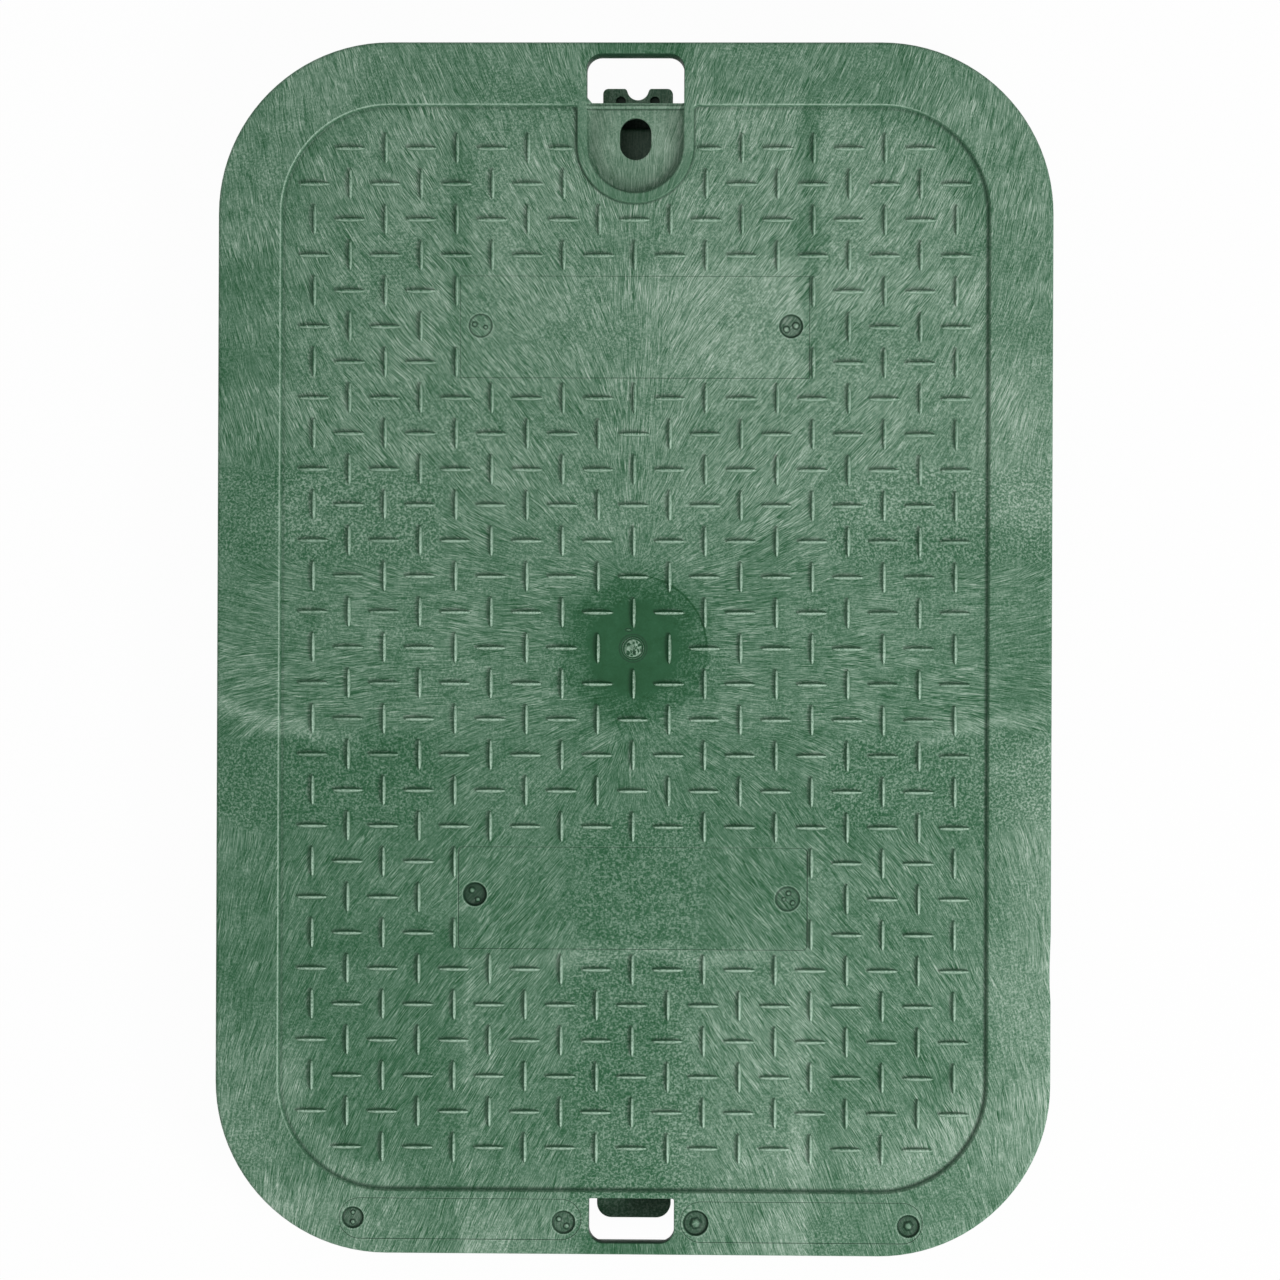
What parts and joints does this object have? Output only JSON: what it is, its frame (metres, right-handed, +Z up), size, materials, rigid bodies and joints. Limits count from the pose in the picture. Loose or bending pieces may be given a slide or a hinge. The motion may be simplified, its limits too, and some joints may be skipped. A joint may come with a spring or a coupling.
{
  "type": "cable pit cover",
  "caption": "Rounded rectangular cover for an underground cable pit, with a raised tread, a lift opening, a bolt slot and a ribbed underside.",
  "frame": {"origin": "middle of the plane that the cover rests on, at the foot of its locating ring", "axes": "+Z up through the tread, +Y towards the lift opening, +X to the right"},
  "size_m": [0.297, 0.431, 0.032],
  "materials": {
    "green_plastic": "matte"
  },
  "bodies": {
    "root": {"cover": "green_plastic"}
  },
  "joints": []
}
